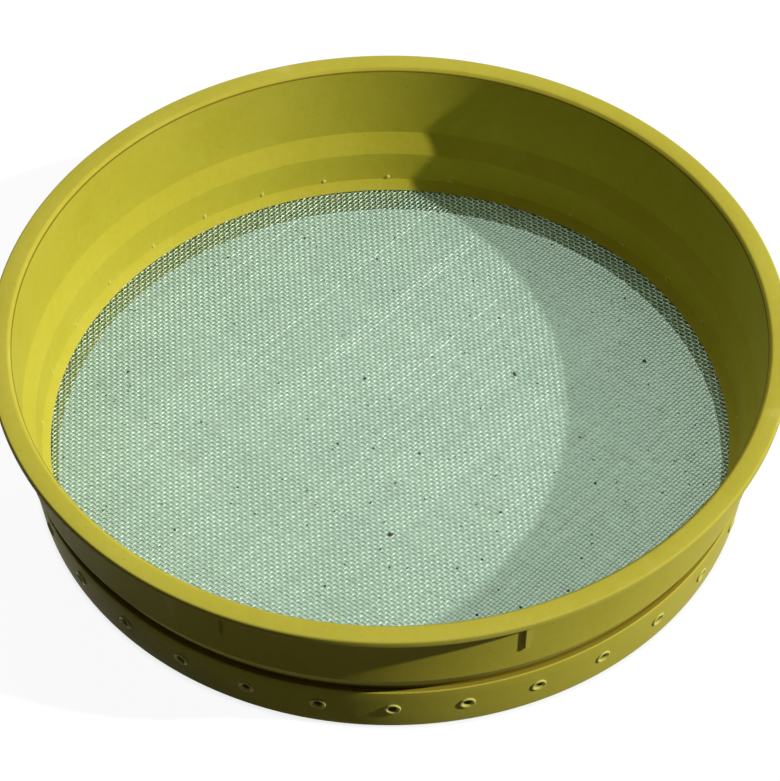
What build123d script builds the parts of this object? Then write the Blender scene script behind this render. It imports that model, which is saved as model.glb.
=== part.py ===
from build123d import *
import os
from math import cos, hypot, radians, sin, sqrt, tan

os.makedirs("parts", exist_ok=True)

# Upper frame, the inside face from the rim down to the mesh
mouth_diameter = 200.0
rim_width = 6.0
rim_thickness = 2.3
rim_bevel = 1.0
rim_bevel_height = 0.9
rim_edge_bevel = 0.5
frame_wall = 1.5
barrel_length = 22.3
barrel_draft = 3.3
shoulder_drop = 5.9
shoulder_inset = 3.1
spigot_length = 8.9
spigot_draft = 7.0
lead_in_height = 2.7
lead_in_width = 2.3

# Short ribs that hang from the rim on the outside of the barrel
rib_count = 8
rib_phase = -70.2
rib_width = 1.25
rib_depth = 1.0
rib_length = 13.2

# Lower ring: a foot under the mesh and a wall that closes round the spigot
foot_height = 5.46
foot_ledge = 0.9
ring_wall = 1.5
ring_fit = 0.1
groove_gap = 0.9
foot_edge_bevel = 1.2

# Wire mesh: each ridge and gap stands for a bundle of the fine wires
wire_diameter = 0.42
mesh_edge_gap = 0.15
mesh_web = 0.4
mesh_angle = 50.0
cell_pitch = 17.4
cell_gap = 10.9
ridge_width = 1.8
ridge_taper = 30.0

# Hollow-headed rivets through the ring and the spigot
rivet_count = 32
rivet_phase = -89.6
rivet_above_mesh = 3.0
collar_diameter = 4.3
collar_height = 0.45
body_diameter = 3.3
socket_diameter = 2.4
socket_floor = 0.4
pin_diameter = 1.2
pin_proud = 0.35
rivet_clearance = 0.05
collar_sides = 8
body_sides = 6
pin_sides = 4

# Heights above the floor
mesh_top = foot_height + 2 * wire_diameter
lead_in_top = mesh_top + lead_in_height
spigot_top = lead_in_top + spigot_length
shoulder_top = spigot_top + shoulder_drop
mouth_height = shoulder_top + barrel_length
rim_top = mouth_height + rim_bevel_height
rim_underside = rim_top - rim_thickness
rib_bottom = rim_underside - rib_length
ring_top = spigot_top - groove_gap

# Inside radii of the frame at those heights
barrel_slope = tan(radians(barrel_draft))
spigot_slope = tan(radians(spigot_draft))
mouth_radius = mouth_diameter / 2
shoulder_radius = mouth_radius - barrel_length * barrel_slope
spigot_radius = shoulder_radius - shoulder_inset
lead_in_radius = spigot_radius - spigot_length * spigot_slope
window_radius = lead_in_radius - lead_in_width
rim_radius = mouth_radius + rim_width


def barrel_outside(height):
    return mouth_radius + frame_wall - (mouth_height - height) * barrel_slope


def spigot_outside(height):
    return spigot_radius + frame_wall - (spigot_top - height) * spigot_slope


def ring_bore(height):
    return spigot_outside(height) + ring_fit


def ring_outside(height):
    return ring_bore(height) + ring_wall


def foot_bore(height):
    return window_radius - foot_ledge - (foot_height - height) * spigot_slope


# One rib: a bar that follows the draft of the barrel and runs up into the rim
with BuildPart() as rib:
    with BuildSketch(Plane.XZ):
        with BuildLine():
            Polyline(
                (barrel_outside(rim_top) - frame_wall, rim_underside + rim_thickness / 2),
                (barrel_outside(rim_underside) + rib_depth, rim_underside + rim_thickness / 2),
                (barrel_outside(rib_bottom) + rib_depth, rib_bottom),
                (barrel_outside(rib_bottom) - frame_wall / 2, rib_bottom),
                close=True,
            )
        make_face()
    extrude(amount=rib_width / 2, both=True)

# The rivets stand square to the drafted ring wall, so they rise a little towards the inside
rivet_height = mesh_top + rivet_above_mesh
rivet_lean = radians(spigot_draft)
rivet_seat = Plane(
    (ring_outside(rivet_height), 0, rivet_height),
    x_dir=(0, 1, 0),
    z_dir=(cos(rivet_lean), 0, -sin(rivet_lean)),
)
body_length = ring_wall * cos(rivet_lean)
pin_length = (ring_wall + ring_fit + frame_wall) * cos(rivet_lean) + pin_proud


def rivet_hole(diameter, sides):
    """A cutter on the rivet's axis, from clear of the collar to clear of the pin's tip."""
    with BuildPart() as hole:
        with BuildSketch(rivet_seat.offset(2 * collar_height)):
            RegularPolygon(diameter / 2 + rivet_clearance, sides)
        extrude(amount=-2 * (collar_height + pin_length))
    return hole.part


# One rivet: a collar, a body as long as the ring wall, a pin and a blind socket
with BuildPart() as rivet:
    with BuildSketch(rivet_seat):
        RegularPolygon(collar_diameter / 2, collar_sides)
    extrude(amount=collar_height)
    with BuildSketch(rivet_seat):
        RegularPolygon(body_diameter / 2, body_sides)
    extrude(amount=-body_length)
    with BuildSketch(rivet_seat):
        RegularPolygon(pin_diameter / 2, pin_sides)
    extrude(amount=-pin_length)
    with BuildSketch(rivet_seat.offset(collar_height)):
        RegularPolygon(socket_diameter / 2, body_sides)
    extrude(amount=socket_floor - body_length - collar_height, mode=Mode.SUBTRACT)

pin_hole = rivet_hole(pin_diameter, pin_sides)
body_hole = rivet_hole(body_diameter, body_sides)

with BuildPart() as ring_rivets:
    with PolarLocations(0, rivet_count, start_angle=rivet_phase):
        add(rivet.part)

# Upper frame: rim, barrel, shoulder, spigot and lead-in are one moulding
with BuildPart() as upper_frame:
    with BuildSketch(Plane.XZ) as frame_section:
        with BuildLine():
            Polyline(
                (mouth_radius + rim_bevel, rim_top),
                (rim_radius, rim_top),
                (rim_radius, rim_underside),
                (barrel_outside(rim_underside), rim_underside),
                (barrel_outside(shoulder_top), shoulder_top),
                (spigot_outside(spigot_top), spigot_top),
                (spigot_outside(mesh_top), mesh_top),
                (window_radius, mesh_top),
                (lead_in_radius, lead_in_top),
                (spigot_radius, spigot_top),
                (shoulder_radius, shoulder_top),
                (mouth_radius, mouth_height),
                close=True,
            )
        make_face()
        chamfer(frame_section.vertices().group_by(Axis.X)[-1].sort_by(Axis.Y)[-1], rim_edge_bevel)
    revolve(axis=Axis.Z)
    with PolarLocations(0, rib_count, start_angle=rib_phase):
        add(rib.part)
    with PolarLocations(0, rivet_count, start_angle=rivet_phase):
        add(pin_hole, mode=Mode.SUBTRACT)

# Lower ring: the shelf on its foot carries the mesh, and its wall takes the rivets
with BuildPart() as clamp_ring:
    with BuildSketch(Plane.XZ) as ring_section:
        with BuildLine():
            Polyline(
                (ring_bore(ring_top), ring_top),
                (ring_outside(ring_top), ring_top),
                (ring_outside(0), 0),
                (foot_bore(0), 0),
                (foot_bore(foot_height), foot_height),
                (ring_bore(foot_height), foot_height),
                close=True,
            )
        make_face()
        chamfer(ring_section.vertices().group_by(Axis.Y)[0].sort_by(Axis.X)[-1], foot_edge_bevel)
    revolve(axis=Axis.Z)
    with PolarLocations(0, rivet_count, start_angle=rivet_phase):
        add(body_hole, mode=Mode.SUBTRACT)

# Mesh: a thin web with square gaps, crossed above by warp ridges and below by weft ridges
mesh_radius = ring_bore(foot_height) - mesh_edge_gap
web_bottom = foot_height + wire_diameter - mesh_web / 2
web_top = web_bottom + mesh_web
ridge_height = wire_diameter - mesh_web / 2
gap_reach = window_radius - cell_gap / sqrt(2)
cells_across = int(mesh_radius // cell_pitch)
cells = range(-cells_across, cells_across + 1)
gap_centres = [
    (cell_pitch * i, cell_pitch * j)
    for i in cells
    for j in cells
    if hypot(i, j) * cell_pitch < gap_reach
]
ridge_lines = [cell_pitch * (i + 0.5) for i in range(-cells_across - 1, cells_across + 1)]


def mesh_plane(height, turn=0.0):
    return Plane.XY.offset(height).rotated((0, 0, mesh_angle + turn))


def draw_ridges():
    """Strips along X, each cut to the chord of the round mesh."""
    for line in ridge_lines:
        edge = abs(line) + ridge_width / 2
        if edge < mesh_radius:
            with Locations((0, line)):
                Rectangle(2 * sqrt(mesh_radius**2 - edge**2), ridge_width)


with BuildPart() as sieve_mesh:
    with BuildSketch(mesh_plane(web_bottom)):
        Circle(mesh_radius)
        with Locations(*gap_centres):
            Rectangle(cell_gap, cell_gap, mode=Mode.SUBTRACT)
    extrude(amount=mesh_web)
    with BuildSketch(mesh_plane(web_top)):
        draw_ridges()
    extrude(amount=ridge_height, taper=ridge_taper)
    with BuildSketch(mesh_plane(web_bottom, 90)):
        draw_ridges()
    extrude(amount=-ridge_height, taper=ridge_taper)

for name, piece in (
    ("upper_frame", upper_frame),
    ("clamp_ring", clamp_ring),
    ("sieve_mesh", sieve_mesh),
    ("ring_rivets", ring_rivets),
):
    piece.part.label = name
    export_step(piece.part, f"parts/{name}.step")
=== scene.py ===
from math import atan2, cos, pi, radians, sin, tan

import bmesh
import bpy
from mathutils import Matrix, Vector


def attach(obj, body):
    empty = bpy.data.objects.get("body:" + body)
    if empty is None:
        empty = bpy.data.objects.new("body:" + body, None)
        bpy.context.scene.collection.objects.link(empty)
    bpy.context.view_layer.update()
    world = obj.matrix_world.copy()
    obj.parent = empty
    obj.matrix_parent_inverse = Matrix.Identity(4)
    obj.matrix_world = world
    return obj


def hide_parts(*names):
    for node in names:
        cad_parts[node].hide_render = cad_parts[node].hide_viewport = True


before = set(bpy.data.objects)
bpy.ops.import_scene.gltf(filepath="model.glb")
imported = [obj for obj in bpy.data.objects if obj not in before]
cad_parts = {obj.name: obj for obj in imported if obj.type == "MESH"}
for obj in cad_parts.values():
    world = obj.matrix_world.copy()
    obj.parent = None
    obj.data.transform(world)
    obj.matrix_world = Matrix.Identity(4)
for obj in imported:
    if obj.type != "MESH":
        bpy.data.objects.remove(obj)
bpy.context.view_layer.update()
mm = 0.001
print("frame loaded:", sorted(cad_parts))


# lets sums on sockets be written as plain expressions
class Socket:
    def __init__(self, graph, link):
        self.graph = graph
        self.link = link

    def join(self, operation, left, right):
        return self.graph.node("ShaderNodeMath", {"operation": operation}, {0: left, 1: right})

    def other(self, name):
        return Socket(self.graph, self.link.node.outputs[name])

    def __add__(self, right):
        return self.join("ADD", self, right)

    def __radd__(self, left):
        return self.join("ADD", left, self)

    def __sub__(self, right):
        return self.join("SUBTRACT", self, right)

    def __rsub__(self, left):
        return self.join("SUBTRACT", left, self)

    def __mul__(self, right):
        return self.join("MULTIPLY", self, right)

    def __rmul__(self, left):
        return self.join("MULTIPLY", left, self)

    def __truediv__(self, right):
        return self.join("DIVIDE", self, right)

    def __rtruediv__(self, left):
        return self.join("DIVIDE", left, self)

    def __pow__(self, right):
        return self.join("POWER", self, right)

    def __mod__(self, right):
        return self.join("FLOORED_MODULO", self, right)

    def __neg__(self):
        return self.join("MULTIPLY", self, -1.0)

    def __gt__(self, right):
        return self.join("GREATER_THAN", self, right)

    def __lt__(self, right):
        return self.join("LESS_THAN", self, right)


class Graph:
    def __init__(self, tree):
        self.tree = tree
        self.tree.nodes.clear()

    def node(self, kind, settings=None, inputs=None, output=0):
        made = self.tree.nodes.new(kind)
        for name, value in (settings or {}).items():
            if name == "stops":
                self.fillRamp(made.color_ramp, value)
            else:
                setattr(made, name, value)
        for name, value in (inputs or {}).items():
            if isinstance(value, Socket):
                self.tree.links.new(value.link, made.inputs[name])
            else:
                made.inputs[name].default_value = value
        return Socket(self, made.outputs[output]) if made.outputs else made

    def fillRamp(self, ramp, stops):
        while len(ramp.elements) > 2:
            ramp.elements.remove(ramp.elements[-1])
        while len(ramp.elements) < len(stops):
            ramp.elements.new(0.5)
        for element, (place, colour) in zip(ramp.elements, stops):
            element.position = place
            element.color = (*(colour if isinstance(colour, tuple) else [colour] * 3), 1)

    def clamp(self, value):
        return self.node("ShaderNodeClamp", None, {0: value})

    def round(self, value):
        return self.node("ShaderNodeMath", {"operation": "ROUND"}, {0: value})

    def floor(self, value):
        return self.node("ShaderNodeMath", {"operation": "FLOOR"}, {0: value})

    def cosine(self, value):
        return self.node("ShaderNodeMath", {"operation": "COSINE"}, {0: value})


def newTree(name, wants):
    tree = bpy.data.node_groups.new(name, "GeometryNodeTree")
    kinds = {"geometry": "NodeSocketGeometry", "float": "NodeSocketFloat", "int": "NodeSocketInt",
             "vector": "NodeSocketVector", "material": "NodeSocketMaterial"}
    for label, kind in wants.items():
        tree.interface.new_socket(label, in_out="INPUT", socket_type=kinds[kind])
    tree.interface.new_socket("Geometry", in_out="OUTPUT", socket_type="NodeSocketGeometry")
    graph = Graph(tree)
    return graph, graph.node("NodeGroupInput")


def endTree(graph, geometry, finish):
    real = graph.node("GeometryNodeRealizeInstances", None, {"Geometry": geometry})
    painted = graph.node("GeometryNodeSetMaterial", None, {"Geometry": real, "Material": finish})
    graph.node("NodeGroupOutput", None, {"Geometry": painted})
    return graph.tree


# runs a tree on a start mesh and keeps the result as a plain mesh
def growPiece(name, tree, sizes, start=None):
    piece = bpy.data.objects.new(name, start or bpy.data.meshes.new(name + "Start"))
    modifier = piece.modifiers.new("grow", "NODES")
    modifier.node_group = tree
    for item in tree.interface.items_tree:
        if item.in_out == "INPUT" and item.name in sizes:
            modifier[item.identifier] = sizes[item.name]
    bpy.context.scene.collection.objects.link(piece)
    grown = bpy.data.meshes.new_from_object(
        piece.evaluated_get(bpy.context.evaluated_depsgraph_get()))
    piece.modifiers.remove(modifier)
    piece.data = grown
    return piece


def smoothShade(piece, crease):
    piece.data.shade_smooth()
    piece.data.set_sharp_from_angle(angle=radians(crease))


def dress(piece, slot, *nodes):
    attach(piece, "root")
    if nodes:
        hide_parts(*nodes)
    print(piece.name, len(piece.data.polygons), "faces")


# sizes that the mouldings share, in millimetres and degrees
sieve = {
    "mouthRadius": 100.0, "mouthHeight": 46.1, "rimTop": 47.0, "rimRadius": 106.0,
    "rimUnderside": 44.7, "wall": 1.5, "barrelDraft": 3.3, "shoulderTop": 23.8,
    "spigotTop": 17.9, "spigotInset": 3.1, "spigotDraft": 7.0, "leadInTop": 9.0,
    "leadInWidth": 2.3, "meshTop": 6.3, "footHeight": 5.46, "footLedge": 0.9,
    "ringTop": 17.0, "ringWall": 1.5, "ringFit": 0.1, "steps": 256,
}
barrelSlope = tan(radians(sieve["barrelDraft"]))
spigotSlope = tan(radians(sieve["spigotDraft"]))
shoulderRadius = sieve["mouthRadius"] - (sieve["mouthHeight"] - sieve["shoulderTop"]) * barrelSlope
spigotRadius = shoulderRadius - sieve["spigotInset"]
leadInRadius = spigotRadius - (sieve["spigotTop"] - sieve["leadInTop"]) * spigotSlope
windowRadius = leadInRadius - sieve["leadInWidth"]


def barrelOutside(height):
    return sieve["mouthRadius"] + sieve["wall"] - (sieve["mouthHeight"] - height) * barrelSlope


def spigotOutside(height):
    return spigotRadius + sieve["wall"] - (sieve["spigotTop"] - height) * spigotSlope


def ringBore(height):
    return spigotOutside(height) + sieve["ringFit"]


def ringOutside(height):
    return ringBore(height) + sieve["ringWall"]


def footBore(height):
    return windowRadius - sieve["footLedge"] - (sieve["footHeight"] - height) * spigotSlope


# an outline mesh in the XZ plane from corners of (radius, height, rounding) in millimetres
def roundedOutline(name, corners, steps=4):
    points = []
    for k, (radius, height, rounding) in enumerate(corners):
        here = Vector((radius, height))
        if rounding == 0:
            points.append(here)
            continue
        back = (Vector(corners[k - 1][:2]) - here).normalized()
        ahead = (Vector(corners[(k + 1) % len(corners)][:2]) - here).normalized()
        half = back.angle(ahead) / 2
        centre = here + (back + ahead).normalized() * (rounding / sin(half))
        first = here + back * (rounding / tan(half)) - centre
        last = here + ahead * (rounding / tan(half)) - centre
        begin = atan2(first.y, first.x)
        turn = (atan2(last.y, last.x) - begin + pi) % (2 * pi) - pi
        for step in range(steps + 1):
            angle = begin + turn * step / steps
            points.append(centre + rounding * Vector((cos(angle), sin(angle))))
    outline = bpy.data.meshes.new(name)
    outline.from_pydata([(x * mm, 0, z * mm) for x, z in points], [], [])
    return outline


def fromAxis(graph, place):
    flat = graph.node("ShaderNodeVectorMath", {"operation": "MULTIPLY"}, {0: place, 1: (1, 1, 0)})
    return graph.node("ShaderNodeVectorMath", {"operation": "LENGTH"}, {0: flat}, 1)


def store(graph, geometry, name, value):
    return graph.node("GeometryNodeStoreNamedAttribute", {"data_type": "FLOAT", "domain": "POINT"},
                      {"Geometry": geometry, "Name": name, "Value": value})


# repeats a geometry evenly about Z inside a tree
def aroundAxis(graph, geometry, count, phase):
    spots = graph.node("GeometryNodeMeshLine", None, {"Count": count, "Offset": (0, 0, 0)})
    index = graph.node("GeometryNodeInputIndex")
    angle = index * (2 * pi / count) + phase
    turn = graph.node("ShaderNodeCombineXYZ", None, {"Z": angle})
    rotation = graph.node("FunctionNodeEulerToRotation", None, {0: turn})
    copies = graph.node("GeometryNodeInstanceOnPoints", None,
                        {"Points": spots, "Instance": geometry, "Rotation": rotation})
    return graph.node("GeometryNodeRealizeInstances", None, {"Geometry": copies})


# turns an outline about Z into a closed skin
def turned(graph, outline, steps):
    count = graph.node("GeometryNodeAttributeDomainSize", {"component": "MESH"},
                       {"Geometry": outline})
    index = graph.node("GeometryNodeInputIndex")
    column = graph.floor((index + 0.5) / (count + 1.0))
    place = (index - column * (count + 1.0)) % count
    grid = graph.node("GeometryNodeMeshGrid", None,
                      {"Vertices X": steps + 1.0, "Vertices Y": count + 1.0})
    position = graph.node("GeometryNodeInputPosition")
    sampled = graph.node("GeometryNodeSampleIndex", {"data_type": "FLOAT_VECTOR"},
                         {"Geometry": outline, "Value": position, "Index": graph.round(place)})
    swung = graph.node("ShaderNodeVectorRotate", {"rotation_type": "Z_AXIS"},
                       {"Vector": sampled, "Angle": column * (2 * pi) / steps})
    moved = graph.node("GeometryNodeSetPosition", None, {"Geometry": grid, "Position": swung})
    return graph.node("GeometryNodeMergeByDistance", None,
                      {"Geometry": moved, "Distance": 0.002 * mm})


# a turned moulding: outline swept about Z, ribs joined on, rivet holes cut through
def mouldingTree():
    graph, given = newTree("turned moulding", {
        "Geometry": "geometry", "Steps": "int", "Ribs": "int", "Rib Phase": "float",
        "Rib Size": "vector", "Rib Place": "vector", "Rib Lean": "float",
        "Holes": "int", "Hole Phase": "float", "Hole Radius": "float",
        "Hole Length": "float", "Hole Place": "vector", "Hole Lean": "float", "Finish": "material"})
    body = turned(graph, given, given.other("Steps"))
    bar = graph.node("GeometryNodeMeshCube", None, {"Size": given.other("Rib Size")})
    lean = graph.node("ShaderNodeCombineXYZ", None, {"Y": given.other("Rib Lean")})
    bar = graph.node("GeometryNodeTransform", None,
                     {"Geometry": bar, "Translation": given.other("Rib Place"), "Rotation": lean})
    ribs = aroundAxis(graph, bar, given.other("Ribs"), given.other("Rib Phase"))
    body = graph.node("GeometryNodeMeshBoolean", {"operation": "UNION", "solver": "EXACT"},
                      {"Mesh 2": body})
    graph.tree.links.new(ribs.link, body.link.node.inputs["Mesh 2"])
    drill = graph.node("GeometryNodeMeshCylinder", None, {
        "Vertices": 24, "Radius": given.other("Hole Radius"), "Depth": given.other("Hole Length")})
    tip = graph.node("ShaderNodeCombineXYZ", None, {"Y": given.other("Hole Lean")})
    drill = graph.node("GeometryNodeTransform", None, {
        "Geometry": drill, "Translation": given.other("Hole Place"), "Rotation": tip})
    holes = aroundAxis(graph, drill, given.other("Holes"), given.other("Hole Phase"))
    cut = graph.node("GeometryNodeMeshBoolean", {"operation": "DIFFERENCE", "solver": "EXACT"},
                     {"Mesh 1": body, "Mesh 2": holes})
    return endTree(graph, cut, given.other("Finish"))


def newFinish(name):
    material = bpy.data.materials.new(name)
    material.use_nodes = True
    graph = Graph(material.node_tree)
    place = graph.node("ShaderNodeTexCoord").other("Object")
    return material, graph, place


def noise(graph, place, scale, detail=3.0, roughness=0.5, distortion=0.0):
    return graph.node("ShaderNodeTexNoise", None, {
        "Vector": place, "Scale": scale, "Detail": detail, "Roughness": roughness,
        "Distortion": distortion})


def blendColours(graph, amount, first, second):
    made = graph.node("ShaderNodeMix", {"data_type": "RGBA"}, {0: amount}, 2)
    for socket, value in ((made.link.node.inputs[6], first), (made.link.node.inputs[7], second)):
        if isinstance(value, Socket):
            graph.tree.links.new(value.link, socket)
        else:
            socket.default_value = (*value, 1)
    return made


def ramp(graph, value, stops):
    return graph.node("ShaderNodeValToRGB", {"stops": stops}, {"Fac": value})


def bumps(graph, strength, distance, height):
    return graph.node("ShaderNodeBump", None, {
        "Strength": strength, "Distance": distance * mm, "Height": height})


def endFinish(graph, sockets):
    surface = graph.node("ShaderNodeBsdfPrincipled", None, sockets)
    graph.node("ShaderNodeOutputMaterial", None, {"Surface": surface})


# the brown in the groove above the clamp ring and in the mouth crease is painted shade
plastic = {
    "deep": (0.47, 0.403, 0.026), "mid": (0.575, 0.513, 0.060), "pale": (0.66, 0.620, 0.16),
    "soil": (0.10, 0.085, 0.03), "creaseShade": (0.20, 0.135, 0.012), "grooveShade": 0.85,
    "grooveInset": 0.3, "grooveBelow": 0.2, "grooveAbove": 0.9, "mouthShade": 0.85,
    "mouthLine": 0.22, "mouthReach": 0.8, "cloudScale": 22.0, "speckleScale": 420.0,
    "grainScale": 1500.0, "grainBump": 0.10, "scuffScale": 95.0, "scuff": 0.22,
    "fleckScale": 700.0, "fleck": 0.25, "edgeWear": 0.35, "roughness": 0.40,
    "sheen": 0.015, "ior": 1.49, "ringLift": 0.05, "ringRoughness": 0.43,
}


# 1 between two heights or radii in millimetres, fading to 0 past them
def band(graph, value, low, high, soft):
    rising = graph.clamp((value - low * mm) / (soft * mm) + 0.5)
    return rising * graph.clamp((high * mm - value) / (soft * mm) + 0.5)


# painted shade: a brown darkening in the groove above the clamp ring, and a painted shade line in
# the crease round the mouth
def paintedCreaseShade(graph, place):
    reach = fromAxis(graph, place)
    height = graph.node("ShaderNodeSeparateXYZ", None, {0: place}).other("Z")
    across = band(graph, reach, spigotOutside(sieve["ringTop"]) - plastic["grooveInset"],
                  ringOutside(sieve["ringTop"]) - plastic["grooveInset"], 0.2)
    groove = across * band(graph, height, sieve["ringTop"] - plastic["grooveBelow"],
                           sieve["spigotTop"] + plastic["grooveAbove"], 0.5)
    mouth = band(graph, height, sieve["mouthHeight"] - plastic["mouthLine"],
                 sieve["mouthHeight"] + plastic["mouthLine"], 0.15)
    inside = reach < (sieve["mouthRadius"] + plastic["mouthReach"]) * mm
    return graph.clamp(groove * plastic["grooveShade"] + mouth * inside * plastic["mouthShade"])


def mouldedPlastic(name, lift, roughness):
    material, graph, place = newFinish(name)
    cloud = noise(graph, place, plastic["cloudScale"], 5.0, 0.6)
    speckle = noise(graph, place, plastic["speckleScale"], 4.0, 0.65)
    grain = noise(graph, place, plastic["grainScale"], 2.0, 0.5)
    scuff = ramp(graph, noise(graph, place, plastic["scuffScale"], 8.0, 0.72, 1.6),
                 [(0.60, 0.0), (0.74, 1.0)])
    tone = graph.clamp((cloud - 0.5) * 1.4 + (speckle - 0.5) * 0.7 + 0.5 + lift)
    colour = blendColours(graph, tone, plastic["deep"], plastic["mid"])
    colour = blendColours(graph, scuff * plastic["scuff"], colour, plastic["pale"])
    pointing = graph.node("ShaderNodeNewGeometry").other("Pointiness")
    edge = ramp(graph, pointing, [(0.50, 0.0), (0.56, 1.0)])
    colour = blendColours(graph, edge * plastic["edgeWear"], colour, plastic["pale"])
    fleck = ramp(graph, noise(graph, place, plastic["fleckScale"], 2.0, 0.5),
                 [(0.70, 0.0), (0.78, 1.0)])
    colour = blendColours(graph, fleck * plastic["fleck"], colour, plastic["soil"])
    # painted shade in the groove above the clamp ring and along the crease round the mouth
    colour = blendColours(graph, paintedCreaseShade(graph, place), colour, plastic["creaseShade"])
    bump = bumps(graph, plastic["grainBump"], 0.3, grain + speckle * 0.8 + cloud * 2.0)
    endFinish(graph, {
        "Base Color": colour, "Roughness": roughness + (speckle - 0.5) * 0.25 + scuff * 0.12,
        "IOR": plastic["ior"], "Specular IOR Level": plastic["sheen"], "Normal": bump})
    return material


weave = {
    "wire": 0.42, "crimp": 0.21, "warpAngle": 48.8, "weftAngle": -36.6,
    "warpPitch": 1.060, "weftPitch": 1.160, "middle": 5.88, "reach": 95.4,
    "sides": 4, "wander": 0.035, "seed": 7, "spareCrossings": 8,
}
wireLook = {
    "dull": (0.31, 0.43, 0.33), "mid": (0.45, 0.60, 0.47), "bright": (0.72, 0.86, 0.73),
    "dust": (0.42, 0.43, 0.34), "glintColour": (0.88, 1.0, 0.88), "metallic": 0.78,
    "roughness": 0.46, "shining": 0.88, "glintPlace": (-0.006, 0.062, 0.006), "glintReach": 0.040,
    "patchScale": 70.0, "breakScale": 420.0, "driftScale": 38.0, "fineScale": 900.0,
    "crestHighlightScale": 1300.0, "dustScale": 160.0, "dustCover": 0.4, "bump": 0.15,
}


# painted highlight: the crests of the warp are painted brighter, and a few warp wires get a painted
# glint over part of their length
def wovenWire():
    material, graph, place = newFinish("drawnWire")
    own = graph.node("ShaderNodeAttribute", {"attribute_name": "wireTone"}).other("Fac")
    warp = graph.node("ShaderNodeAttribute", {"attribute_name": "warp"}).other("Fac")
    height = graph.node("ShaderNodeSeparateXYZ", None, {0: place}).other("Z")
    crest = graph.clamp((height - weave["middle"] * mm) / (weave["wire"] * mm)) ** 2.0
    # painted glint: near-white streaks on a few warp wires inside one patch
    away = graph.node("ShaderNodeVectorMath", {"operation": "DISTANCE"},
                      {0: place, 1: wireLook["glintPlace"]}, 1)
    patch = noise(graph, place, wireLook["patchScale"], 2.0) * 1.6 - away / wireLook["glintReach"]
    paintedGlint = (own > wireLook["shining"]) * warp * graph.clamp((patch + 0.3) * 3.0)
    paintedGlint = paintedGlint * graph.clamp((noise(graph, place, wireLook["breakScale"], 2.0) - 0.42) * 8.0)
    drift = noise(graph, place, wireLook["driftScale"], 4.0, 0.6)
    fine = noise(graph, place, wireLook["fineScale"], 3.0, 0.6)
    # painted highlight on the warp crests
    crestHighlight = crest * (0.1 + warp * 0.6) * noise(graph, place, wireLook["crestHighlightScale"], 1.0)
    tone = graph.clamp(own * 0.28 + drift * 0.5 + (fine - 0.5) * 0.9 + crestHighlight * 0.7)
    colour = ramp(graph, tone, [
        (0.10, wireLook["dull"]), (0.52, wireLook["mid"]), (0.95, wireLook["bright"])])
    dust = ramp(graph, noise(graph, place, wireLook["dustScale"], 6.0, 0.7, 0.6),
                [(0.56, 0.0), (0.72, 1.0)])
    colour = blendColours(graph, dust * wireLook["dustCover"], colour, wireLook["dust"])
    # painted glint
    colour = blendColours(graph, paintedGlint * 0.8, colour, wireLook["glintColour"])
    bump = bumps(graph, wireLook["bump"], 0.1, fine)
    endFinish(graph, {
        "Base Color": colour, "Metallic": wireLook["metallic"] - dust * 0.35 - paintedGlint * 0.6,
        "Roughness": wireLook["roughness"] + dust * 0.3 - paintedGlint * 0.2, "Normal": bump})
    return material


def rivetFinish():
    material, graph, place = newFinish("rivetPlastic")
    soil = graph.node("ShaderNodeAttribute", {"attribute_name": "soil"}).other("Fac")
    speckle = noise(graph, place, 600.0, 4.0, 0.6)
    colour = blendColours(graph, speckle, plastic["mid"], plastic["pale"])
    # painted shade: the socket of each rivet is painted dark brown
    paintedSocketShade = graph.clamp(soil * (0.35 + speckle * 0.5))
    colour = blendColours(graph, paintedSocketShade, colour, rivets["soil"])
    bump = bumps(graph, 0.12, 0.2, speckle)
    endFinish(graph, {
        "Base Color": colour, "Roughness": rivets["roughness"] + soil * 0.5,
        "IOR": plastic["ior"], "Specular IOR Level": rivets["sheen"], "Normal": bump})
    return material


def soilFinish():
    material, graph, place = newFinish("drySoil")
    crumb = noise(graph, place, 800.0, 4.0, 0.7)
    colour = ramp(graph, crumb, [(0.3, specks["dark"]), (0.7, specks["pale"])])
    bump = bumps(graph, 0.5, 0.2, crumb)
    endFinish(graph, {"Base Color": colour, "Roughness": 0.9, "Normal": bump})
    return material


framePlastic = mouldedPlastic("framePlastic", 0.0, plastic["roughness"])
ringPlastic = mouldedPlastic("ringPlastic", plastic["ringLift"], plastic["ringRoughness"])
print("finishes made")

# the dark brown in the rivet sockets is painted shade
rivets = {
    "count": 32, "phase": -89.6, "height": 9.3, "lean": 7.0, "steps": 24,
    "collarRadius": 2.15, "collarHeight": 0.4, "dishRadius": 1.62, "bodyRadius": 1.65,
    "socketRadius": 1.1, "socketFloor": 0.4, "pinRadius": 0.6, "pinProud": 0.3,
    "clearance": 0.05, "drillLength": 8.0, "roughness": 0.34, "sheen": 0.08,
    "soil": (0.06, 0.05, 0.012),
}
ribs = {"count": 8, "phase": -70.2, "width": 1.25, "depth": 1.0, "length": 13.2, "sunk": 0.8,
        "rise": 1.0}
rivetLean = radians(rivets["lean"])
rivetSeat = Vector((ringOutside(rivets["height"]), 0, rivets["height"])) * mm
moulding = mouldingTree()
# heights where the outlines get an extra corner, so that the faces round the rivet holes stay short
holeBand = {"frame": 12.5, "ringLow": 6.6, "ringHigh": 12.2}

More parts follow.
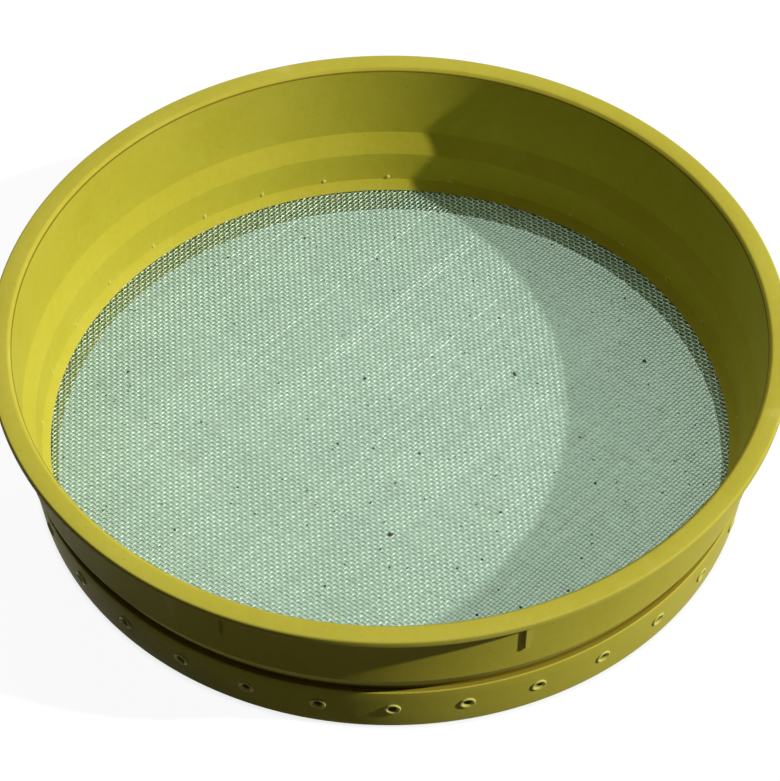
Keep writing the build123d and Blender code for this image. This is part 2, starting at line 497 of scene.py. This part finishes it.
frameOutline = roundedOutline("frameOutline", [
    (sieve["mouthRadius"] + 1.0, sieve["rimTop"], 1.1),
    (sieve["rimRadius"], sieve["rimTop"], 0.6),
    (sieve["rimRadius"], sieve["rimUnderside"], 0.5),
    (barrelOutside(sieve["rimUnderside"]), sieve["rimUnderside"], 0.4),
    (barrelOutside(sieve["shoulderTop"]), sieve["shoulderTop"], 0.8),
    (spigotOutside(sieve["spigotTop"]), sieve["spigotTop"], 0.5),
    (spigotOutside(holeBand["frame"]), holeBand["frame"], 0),
    (spigotOutside(sieve["meshTop"]), sieve["meshTop"], 0.15),
    (windowRadius, sieve["meshTop"], 0.15),
    (leadInRadius, sieve["leadInTop"], 0.3),
    (leadInRadius + (holeBand["frame"] - sieve["leadInTop"]) * spigotSlope, holeBand["frame"], 0),
    (spigotRadius, sieve["spigotTop"], 0.5),
    (shoulderRadius, sieve["shoulderTop"], 0.7),
    (sieve["mouthRadius"], sieve["mouthHeight"], 0.45),
])
ribMiddle = sieve["rimUnderside"] - ribs["length"] / 2
ribSize = Vector((ribs["depth"] + ribs["sunk"], ribs["width"], ribs["length"] + ribs["rise"]))
ribPlace = Vector((barrelOutside(ribMiddle) + (ribs["depth"] - ribs["sunk"]) / 2, 0,
                   ribMiddle + ribs["rise"] / 2))
upperFrame = growPiece("upperFrame", moulding, {
    "Steps": sieve["steps"], "Ribs": ribs["count"], "Rib Phase": radians(ribs["phase"]),
    "Rib Size": ribSize * mm, "Rib Place": ribPlace * mm,
    "Rib Lean": radians(sieve["barrelDraft"]),
    "Holes": rivets["count"], "Hole Phase": radians(rivets["phase"]),
    "Hole Radius": (rivets["pinRadius"] + rivets["clearance"]) * mm,
    "Hole Length": rivets["drillLength"] * mm,
    "Hole Place": rivetSeat, "Hole Lean": radians(90) + rivetLean, "Finish": framePlastic,
}, frameOutline)
smoothShade(upperFrame, 32)
dress(upperFrame, "frame_plastic", "upper_frame")

ringOutline = roundedOutline("ringOutline", [
    (ringBore(sieve["ringTop"]), sieve["ringTop"], 0.2),
    (ringOutside(sieve["ringTop"]), sieve["ringTop"], 0.45),
    (ringOutside(holeBand["ringHigh"]), holeBand["ringHigh"], 0),
    (ringOutside(holeBand["ringLow"]), holeBand["ringLow"], 0),
    (ringOutside(0), 0, 1.6),
    (footBore(0), 0, 0.4),
    (footBore(sieve["footHeight"]), sieve["footHeight"], 0.2),
    (ringBore(sieve["footHeight"]), sieve["footHeight"], 0),
    (ringBore(holeBand["ringLow"]), holeBand["ringLow"], 0),
    (ringBore(holeBand["ringHigh"]), holeBand["ringHigh"], 0),
], 6)
clampRing = growPiece("clampRing", moulding, {
    "Steps": sieve["steps"], "Ribs": 0,
    "Holes": rivets["count"], "Hole Phase": radians(rivets["phase"]),
    "Hole Radius": (rivets["bodyRadius"] + rivets["clearance"]) * mm,
    "Hole Length": rivets["drillLength"] * mm,
    "Hole Place": rivetSeat, "Hole Lean": radians(90) + rivetLean, "Finish": ringPlastic,
}, ringOutline)
smoothShade(clampRing, 32)
dress(clampRing, "ring_plastic", "clamp_ring")


def rivetTree():
    graph, given = newTree("rivet row", {
        "Geometry": "geometry", "Count": "int", "Phase": "float", "Steps": "int", "Seat": "vector",
        "Lean": "float", "Socket Radius": "float", "Socket Depth": "float", "Finish": "material"})
    body = turned(graph, given, given.other("Steps"))
    place = graph.node("GeometryNodeInputPosition")
    height = graph.node("ShaderNodeSeparateXYZ", None, {0: place}).other("Z")
    # the socket is marked here for its painted shade
    inSocket = fromAxis(graph, place) < given.other("Socket Radius")
    inSocket = inSocket * (height > -given.other("Socket Depth"))
    body = store(graph, body, "soil", inSocket)
    tip = graph.node("ShaderNodeCombineXYZ", None, {"Y": given.other("Lean")})
    body = graph.node("GeometryNodeTransform", None,
                      {"Geometry": body, "Translation": given.other("Seat"), "Rotation": tip})
    row = aroundAxis(graph, body, given.other("Count"), given.other("Phase"))
    return endTree(graph, row, given.other("Finish"))


wallDepth = sieve["ringWall"] * cos(rivetLean)
bothWalls = sieve["ringWall"] + sieve["ringFit"] + sieve["wall"]
pinEnd = bothWalls * cos(rivetLean) + rivets["pinProud"]
rivetOutline = roundedOutline("rivetOutline", [
    (0.001, rivets["socketFloor"] - wallDepth, 0),
    (rivets["socketRadius"], rivets["socketFloor"] - wallDepth, 0.2),
    (rivets["socketRadius"], -0.05, 0.12),
    (rivets["dishRadius"], rivets["collarHeight"], 0.16),
    (rivets["collarRadius"] - 0.1, rivets["collarHeight"], 0.3),
    (rivets["collarRadius"], 0, 0.06),
    (rivets["bodyRadius"], 0, 0),
    (rivets["bodyRadius"], -wallDepth, 0),
    (rivets["pinRadius"], -wallDepth, 0),
    (rivets["pinRadius"], -pinEnd, 0.3),
    (0.001, -pinEnd, 0),
], 3)
ringRivets = growPiece("ringRivets", rivetTree(), {
    "Count": rivets["count"], "Phase": radians(rivets["phase"]), "Steps": rivets["steps"],
    "Seat": rivetSeat, "Lean": radians(90) + rivetLean,
    "Socket Radius": (rivets["socketRadius"] + 0.01) * mm,
    "Socket Depth": (wallDepth - rivets["socketFloor"] + 0.02) * mm, "Finish": rivetFinish(),
}, rivetOutline)
smoothShade(ringRivets, 40)
dress(ringRivets, "rivet_plastic", "ring_rivets")


# lines of a grid, waved over and under the lines that cross them, and given a round section
def wireTree():
    graph, given = newTree("woven wires", {
        "Wires": "int", "First": "float", "Crossings": "int", "Pitch": "float",
        "Cross Pitch": "float", "Shear": "float", "Crimp": "float", "Thickness": "float",
        "Sides": "int", "Reach": "float", "Wander": "float", "Seed": "int", "Turn": "float",
        "Height": "float", "Warp": "float", "Finish": "material"})
    pitch, crossPitch = given.other("Pitch"), given.other("Cross Pitch")
    wires, crossings = given.other("Wires"), given.other("Crossings")
    length = crossings * crossPitch
    grid = graph.node("GeometryNodeMeshGrid", None, {
        "Size X": 1.0, "Size Y": 1.0, "Vertices X": crossings * 2.0 + 1.0, "Vertices Y": wires})
    index = graph.node("GeometryNodeInputIndex")
    column = graph.floor((index + 0.5) / wires)
    row = graph.round(index - column * wires)
    number = row + given.other("First")
    along = (column / (crossings * 2.0) - 0.5) * length
    wave = graph.cosine(along * pi / crossPitch) * given.other("Crimp")
    parity = 1.0 - 2.0 * (number % 2.0)
    seedShift = graph.node("ShaderNodeCombineXYZ", None, {
        "X": along * 45.0, "Y": number * 7.31, "Z": given.other("Seed")})
    sway = graph.node("ShaderNodeTexNoise", {"noise_dimensions": "3D"}, {
        "Vector": seedShift, "Scale": 1.0, "Detail": 2.0})
    across = number * pitch + (sway - 0.5) * given.other("Wander") * 4.0
    slid = along + number * pitch * given.other("Shear")
    spot = graph.node("ShaderNodeCombineXYZ", None, {"X": slid, "Y": across, "Z": wave * parity})
    tone = graph.node("FunctionNodeRandomValue", {"data_type": "FLOAT"},
                      {"Min": 0.0, "Max": 1.0, "ID": number, "Seed": given.other("Seed")}, "Value")
    lines = store(graph, grid, "wireTone", tone)
    lines = store(graph, lines, "row", row)
    lines = store(graph, lines, "warp", given.other("Warp"))
    lines = graph.node("GeometryNodeSetPosition", None, {"Geometry": lines, "Position": spot})
    ends = graph.node("GeometryNodeInputMeshEdgeVertices")
    rowHere = graph.node("GeometryNodeInputNamedAttribute", {"data_type": "FLOAT"}, {"Name": "row"})
    firstRow = graph.node("GeometryNodeFieldAtIndex", {"data_type": "FLOAT", "domain": "POINT"},
                          {"Value": rowHere, "Index": ends})
    lastRow = graph.node("GeometryNodeFieldAtIndex", {"data_type": "FLOAT", "domain": "POINT"},
                         {"Value": rowHere, "Index": ends.other("Vertex Index 2")})
    rungs = graph.node("ShaderNodeMath", {"operation": "ABSOLUTE"}, {0: firstRow - lastRow}) > 0.5
    lines = graph.node("GeometryNodeDeleteGeometry", {"domain": "EDGE", "mode": "EDGE_FACE"},
                       {"Geometry": lines, "Selection": rungs})
    past = fromAxis(graph, graph.node("GeometryNodeInputPosition")) > given.other("Reach")
    lines = graph.node("GeometryNodeDeleteGeometry", {"domain": "POINT", "mode": "ALL"},
                       {"Geometry": lines, "Selection": past})
    strands = graph.node("GeometryNodeMeshToCurve", None, {"Mesh": lines})
    section = graph.node("GeometryNodeCurvePrimitiveCircle", {"mode": "RADIUS"}, {
        "Resolution": given.other("Sides"), "Radius": given.other("Thickness") * 0.5})
    tubes = graph.node("GeometryNodeCurveToMesh", None,
                       {"Curve": strands, "Profile Curve": section, "Fill Caps": True})
    turn = graph.node("ShaderNodeCombineXYZ", None, {"Z": given.other("Turn")})
    lift = graph.node("ShaderNodeCombineXYZ", None, {"Z": given.other("Height")})
    tubes = graph.node("GeometryNodeTransform", None,
                       {"Geometry": tubes, "Translation": lift, "Rotation": turn})
    return endTree(graph, tubes, given.other("Finish"))


wovenWires = wireTree()
drawnWire = wovenWire()
spread = radians(weave["warpAngle"] - weave["weftAngle"])
for name, pitch, crossPitch, turn, shear, crimp, warp in (
    ("warpWires", weave["warpPitch"], weave["weftPitch"], weave["warpAngle"], -1,
     weave["crimp"], 1.0),
    ("weftWires", weave["weftPitch"], weave["warpPitch"], weave["weftAngle"], 1,
     -weave["crimp"], 0.0),
):
    half = int(weave["reach"] / pitch) + 1
    crossings = 2 * (int(weave["reach"] / crossPitch) + weave["spareCrossings"])
    for side, first, count in (("Near", -half, half), ("Far", 0, half + 1)):
        piece = growPiece(name + side, wovenWires, {
            "Wires": count, "First": float(first), "Crossings": crossings, "Pitch": pitch * mm,
            "Cross Pitch": crossPitch / sin(spread) * mm, "Shear": shear / tan(spread),
            "Crimp": crimp * mm, "Thickness": weave["wire"] * mm,
            "Sides": weave["sides"], "Reach": weave["reach"] * mm, "Wander": weave["wander"] * mm,
            "Seed": weave["seed"], "Turn": radians(turn), "Height": weave["middle"] * mm,
            "Warp": warp, "Finish": drawnWire})
        piece.data.shade_smooth()
        dress(piece, "mesh_wire", "sieve_mesh")

# soil caught on the wire: scattered dust, and the larger grains as (x, y, radius)
specks = {
    "count": 900, "seed": 11, "reach": 90.0, "smallest": 0.07, "largest": 0.32, "height": 6.26,
    "dark": (0.018, 0.020, 0.012), "pale": (0.085, 0.082, 0.052),
    "grains": [
        (34.5, 20.3, 0.72), (0.1, -37.5, 0.68), (70.6, 25.1, 0.60), (39.6, -69.4, 0.58),
        (-7.0, 18.6, 0.46), (1.4, -19.5, 0.44), (8.0, -8.8, 0.42), (29.6, -29.7, 0.42),
        (34.1, -62.2, 0.40), (-17.1, -55.1, 0.40), (30.6, 41.5, 0.38), (46.8, -56.7, 0.38),
        (55.3, -19.5, 0.36), (24.3, -46.1, 0.36), (79.0, 5.8, 0.36), (53.5, -40.7, 0.36),
        (-72.5, 21.1, 0.36), (-57.3, -35.8, 0.34), (22.7, -64.8, 0.34), (-1.6, -33.2, 0.32),
        (-4.5, -7.0, 0.32), (61.4, -21.9, 0.30), (51.7, -3.1, 0.30), (-46.2, 65.2, 0.30),
        (-14.8, -29.4, 0.28), (73.3, -22.7, 0.28), (-43.5, 39.2, 0.28), (10.9, -24.5, 0.28),
        (56.8, 43.8, 0.26), (-28.9, -18.2, 0.26), (24.9, 7.6, 0.26), (29.8, -10.8, 0.26),
    ],
}


def grainPoints():
    grains = bpy.data.meshes.new("grainPoints")
    spots = [(x * mm, y * mm, specks["height"] * mm) for x, y, size in specks["grains"]]
    grains.from_pydata(spots, [], [])
    sizes = grains.attributes.new("size", "FLOAT", "POINT")
    for spot, (x, y, size) in zip(sizes.data, specks["grains"]):
        spot.value = size * mm
    return grains


def speckTree():
    graph, given = newTree("soil specks", {
        "Geometry": "geometry", "Count": "int", "Seed": "int", "Reach": "float",
        "Smallest": "float", "Largest": "float", "Height": "float", "Finish": "material"})
    seed = given.other("Seed")

    def chance(low, high, shift):
        return graph.node("FunctionNodeRandomValue", {"data_type": "FLOAT"},
                          {2: low, 3: high, "Seed": seed + shift}, 1)

    spots = graph.node("GeometryNodeMeshLine", None,
                       {"Count": given.other("Count"), "Offset": (0, 0, 0)})
    bearing = chance(0.0, 2 * pi, 1.0)
    reach = given.other("Reach") * chance(0.0, 1.0, 0.0) ** 0.5
    spot = graph.node("ShaderNodeCombineXYZ", None, {
        "X": reach * graph.cosine(bearing), "Y": reach * graph.cosine(bearing - pi / 2),
        "Z": given.other("Height")})
    spots = graph.node("GeometryNodeSetPosition", None, {"Geometry": spots, "Position": spot})
    growth = given.other("Largest") - given.other("Smallest")
    small = given.other("Smallest") + growth * chance(0.0, 1.0, 2.0) ** 4.0
    spots = store(graph, spots, "size", small)
    both = graph.node("GeometryNodeJoinGeometry", None, {"Geometry": spots})
    graph.tree.links.new(given.link, both.link.node.inputs["Geometry"])
    crumb = graph.node("GeometryNodeMeshIcoSphere", None, {"Radius": 1.0, "Subdivisions": 2})
    ragged = graph.node("ShaderNodeTexNoise", None, {"Scale": 1.7, "Detail": 2.0})
    normal = graph.node("GeometryNodeInputNormal")
    push = graph.node("ShaderNodeVectorMath", {"operation": "SCALE"},
                      {0: normal, "Scale": (ragged - 0.5) * 1.6})
    crumb = graph.node("GeometryNodeSetPosition", None, {"Geometry": crumb, "Offset": push})
    tumble = graph.node("FunctionNodeRandomValue", {"data_type": "FLOAT_VECTOR"},
                        {0: (0, 0, 0), 1: (0.4, 0.4, 6.28), "Seed": seed + 3.0})
    rotation = graph.node("FunctionNodeEulerToRotation", None, {0: tumble})
    size = graph.node("GeometryNodeInputNamedAttribute", {"data_type": "FLOAT"}, {"Name": "size"})
    scale = graph.node("ShaderNodeCombineXYZ", None,
                       {"X": size * chance(0.7, 1.4, 4.0), "Y": size, "Z": size * 0.45})
    copies = graph.node("GeometryNodeInstanceOnPoints", None, {
        "Points": both, "Instance": crumb, "Rotation": rotation, "Scale": scale})
    return endTree(graph, copies, given.other("Finish"))


soilSpecks = growPiece("soilSpecks", speckTree(), {
    "Count": specks["count"], "Seed": specks["seed"], "Reach": specks["reach"] * mm,
    "Smallest": specks["smallest"] * mm, "Largest": specks["largest"] * mm,
    "Height": specks["height"] * mm, "Finish": soilFinish()}, grainPoints())
soilSpecks.data.shade_smooth()
dress(soilSpecks, "mesh_wire")

# the grey-green under the mesh is a painted shadow of the mesh with painted green light from the
# wires
studio = {
    "floorSize": 6.0, "sunStrength": 3.5, "sunAngle": 1.5, "sunFrom": (0.479, -0.098, 0.373),
    "fill": 0.03, "boxSize": 1.5, "boxPlace": (0.0, 1.3, 1.3), "boxPower": 11.0,
    "floorGrey": 0.10, "glow": 0.94, "paintedMeshShadow": (0.37, 0.50, 0.39), "outside": (1.0, 1.0, 1.0),
    "shadeReach": 0.092, "paperReach": 0.096,
    "cameraPlace": (0, -0.6522, 0.7432), "cameraTilt": 42.12, "lens": 166.2,
}


# rays that end in the picture, straight or by way of metal and glass
def seenRays(graph):
    rays = graph.node("ShaderNodeLightPath")
    return graph.clamp(rays + rays.other("Is Glossy Ray") + rays.other("Is Transmission Ray"))


# matt paper that keeps the shadow, and glows up to white where it is seen; under the mesh it glows
# grey-green instead, a painted shadow of the mesh with painted green light from the wires
def paleFloor():
    material, graph, place = newFinish("paleFloor")
    reach = graph.node("ShaderNodeVectorMath", {"operation": "LENGTH"}, {0: place}, 1)
    # white paper outside, painted grey-green shadow under the mesh
    paperAndPaintedShadow = ramp(graph, reach, [
        (studio["shadeReach"], studio["paintedMeshShadow"]), (studio["paperReach"], studio["outside"])])
    matt = graph.node("ShaderNodeBsdfDiffuse", None, {"Color": (*[studio["floorGrey"]] * 3, 1)})
    glow = graph.node("ShaderNodeEmission", None, {"Color": paperAndPaintedShadow, "Strength": studio["glow"]})
    both = graph.node("ShaderNodeAddShader", None, {0: matt, 1: glow})
    mixed = graph.node("ShaderNodeMixShader", None, {0: seenRays(graph), 1: matt, 2: both})
    graph.node("ShaderNodeOutputMaterial", None, {"Surface": mixed})
    return material


floorMesh = bpy.data.meshes.new("floor")
shape = bmesh.new()
bmesh.ops.create_grid(shape, x_segments=1, y_segments=1, size=studio["floorSize"] / 2)
shape.to_mesh(floorMesh)
shape.free()
floor = bpy.data.objects.new("floor", floorMesh)
floor.data.materials.append(paleFloor())
bpy.context.scene.collection.objects.link(floor)

sunLamp = bpy.data.lights.new("sun", "SUN")
sunLamp.energy = studio["sunStrength"]
sunLamp.angle = radians(studio["sunAngle"])
sun = bpy.data.objects.new("sun", sunLamp)
sun.rotation_euler = Vector(studio["sunFrom"]).to_track_quat("Z", "Y").to_euler()
bpy.context.scene.collection.objects.link(sun)

boxLamp = bpy.data.lights.new("softbox", "AREA")
boxLamp.size = studio["boxSize"]
boxLamp.energy = studio["boxPower"]
softbox = bpy.data.objects.new("softbox", boxLamp)
softbox.location = studio["boxPlace"]
softbox.rotation_euler = Vector(studio["boxPlace"]).to_track_quat("Z", "Y").to_euler()
bpy.context.scene.collection.objects.link(softbox)

world = bpy.data.worlds.new("studio")
world.use_nodes = True
sky = Graph(world.node_tree)
dim = sky.node("ShaderNodeBackground", None, {"Color": (1, 1, 1, 1), "Strength": studio["fill"]})
white = sky.node("ShaderNodeBackground", None, {"Color": (1, 1, 1, 1), "Strength": 1.0})
mixed = sky.node("ShaderNodeMixShader", None, {0: seenRays(sky), 1: dim, 2: white})
sky.node("ShaderNodeOutputWorld", None, {"Surface": mixed})
bpy.context.scene.world = world

lens = bpy.data.cameras.new("camera")
lens.lens = studio["lens"]
lens.sensor_width = 36
camera = bpy.data.objects.new("camera", lens)
camera.location = studio["cameraPlace"]
camera.rotation_euler = (radians(studio["cameraTilt"]), 0, 0)
bpy.context.scene.collection.objects.link(camera)
bpy.context.scene.camera = camera
bpy.context.scene.view_settings.view_transform = "Standard"
print("floor, light and camera set")
